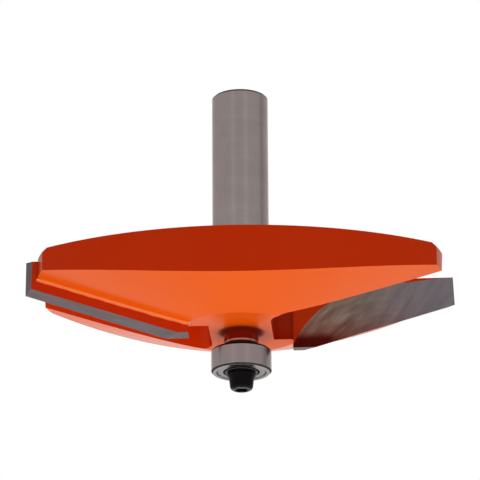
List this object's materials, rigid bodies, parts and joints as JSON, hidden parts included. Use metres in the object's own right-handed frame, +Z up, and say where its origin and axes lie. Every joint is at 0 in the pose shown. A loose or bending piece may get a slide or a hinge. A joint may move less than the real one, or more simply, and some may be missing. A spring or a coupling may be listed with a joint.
{
  "type": "router bit",
  "caption": "Raised panel router bit: lens-shaped orange head with brazed carbide blades, ground steel shank, guide bearing, washer and black socket head screw.",
  "frame": {"origin": "on the bit's axis where the ground shank starts, above the head's root fillet", "axes": "+Z up the shank to its free end, +X out along the first blade"},
  "size_m": [0.09, 0.0538, 0.0657],
  "materials": {
    "coated_steel": "gloss",
    "carbide": "ground",
    "bearing_steel": "ground",
    "shield_steel": "pressed",
    "black_oxide": "black oxide"
  },
  "bodies": {
    "tool": {"cutter_body": "coated_steel", "blade_1": "carbide", "blade_2": "carbide", "bearing_inner_ring": "bearing_steel", "washer": "black_oxide", "screw": "black_oxide"},
    "guide": {"bearing_outer_ring": "bearing_steel", "shield_upper": "shield_steel", "shield_lower": "shield_steel"},
    "cage": {"cage_upper": "shield_steel", "cage_lower": "shield_steel", "cage_rivet_1": "shield_steel", "cage_rivet_2": "shield_steel", "cage_rivet_3": "shield_steel", "cage_rivet_4": "shield_steel", "cage_rivet_5": "shield_steel", "cage_rivet_6": "shield_steel", "cage_rivet_7": "shield_steel"},
    "ball_1_body": {"ball_1": "bearing_steel"},
    "ball_2_body": {"ball_2": "bearing_steel"},
    "ball_3_body": {"ball_3": "bearing_steel"},
    "ball_4_body": {"ball_4": "bearing_steel"},
    "ball_5_body": {"ball_5": "bearing_steel"},
    "ball_6_body": {"ball_6": "bearing_steel"},
    "ball_7_body": {"ball_7": "bearing_steel"}
  },
  "joints": [
    {"name": "guide_spin", "type": "hinge", "parent": "tool", "child": "guide", "pos_m": [0, 0, -0.02329], "axis": [0, 0, 1], "continuous": true},
    {"name": "cage_spin", "type": "hinge", "parent": "tool", "child": "cage", "pos_m": [0, 0, -0.02329], "axis": [0, 0, 1], "continuous": true},
    {"name": "ball_1_roll", "type": "hinge", "parent": "cage", "child": "ball_1_body", "pos_m": [0.00436, 0, -0.02329], "axis": [0, 0, 1], "continuous": true},
    {"name": "ball_2_roll", "type": "hinge", "parent": "cage", "child": "ball_2_body", "pos_m": [0.00272, 0.00341, -0.02329], "axis": [0, 0, 1], "continuous": true},
    {"name": "ball_3_roll", "type": "hinge", "parent": "cage", "child": "ball_3_body", "pos_m": [-0.00097, 0.00426, -0.02329], "axis": [0, 0, 1], "continuous": true},
    {"name": "ball_4_roll", "type": "hinge", "parent": "cage", "child": "ball_4_body", "pos_m": [-0.00393, 0.00189, -0.02329], "axis": [0, 0, 1], "continuous": true},
    {"name": "ball_5_roll", "type": "hinge", "parent": "cage", "child": "ball_5_body", "pos_m": [-0.00393, -0.00189, -0.02329], "axis": [0, 0, 1], "continuous": true},
    {"name": "ball_6_roll", "type": "hinge", "parent": "cage", "child": "ball_6_body", "pos_m": [-0.00097, -0.00426, -0.02329], "axis": [0, 0, 1], "continuous": true},
    {"name": "ball_7_roll", "type": "hinge", "parent": "cage", "child": "ball_7_body", "pos_m": [0.00272, -0.00341, -0.02329], "axis": [0, 0, 1], "continuous": true}
  ],
  "couplings": [
    {"joint": "cage_spin", "follows": "guide_spin", "ratio": 0.63635},
    {"joint": "ball_1_roll", "follows": "guide_spin", "ratio": 1.6971},
    {"joint": "ball_2_roll", "follows": "guide_spin", "ratio": 1.6971},
    {"joint": "ball_3_roll", "follows": "guide_spin", "ratio": 1.6971},
    {"joint": "ball_4_roll", "follows": "guide_spin", "ratio": 1.6971},
    {"joint": "ball_5_roll", "follows": "guide_spin", "ratio": 1.6971},
    {"joint": "ball_6_roll", "follows": "guide_spin", "ratio": 1.6971},
    {"joint": "ball_7_roll", "follows": "guide_spin", "ratio": 1.6971}
  ]
}
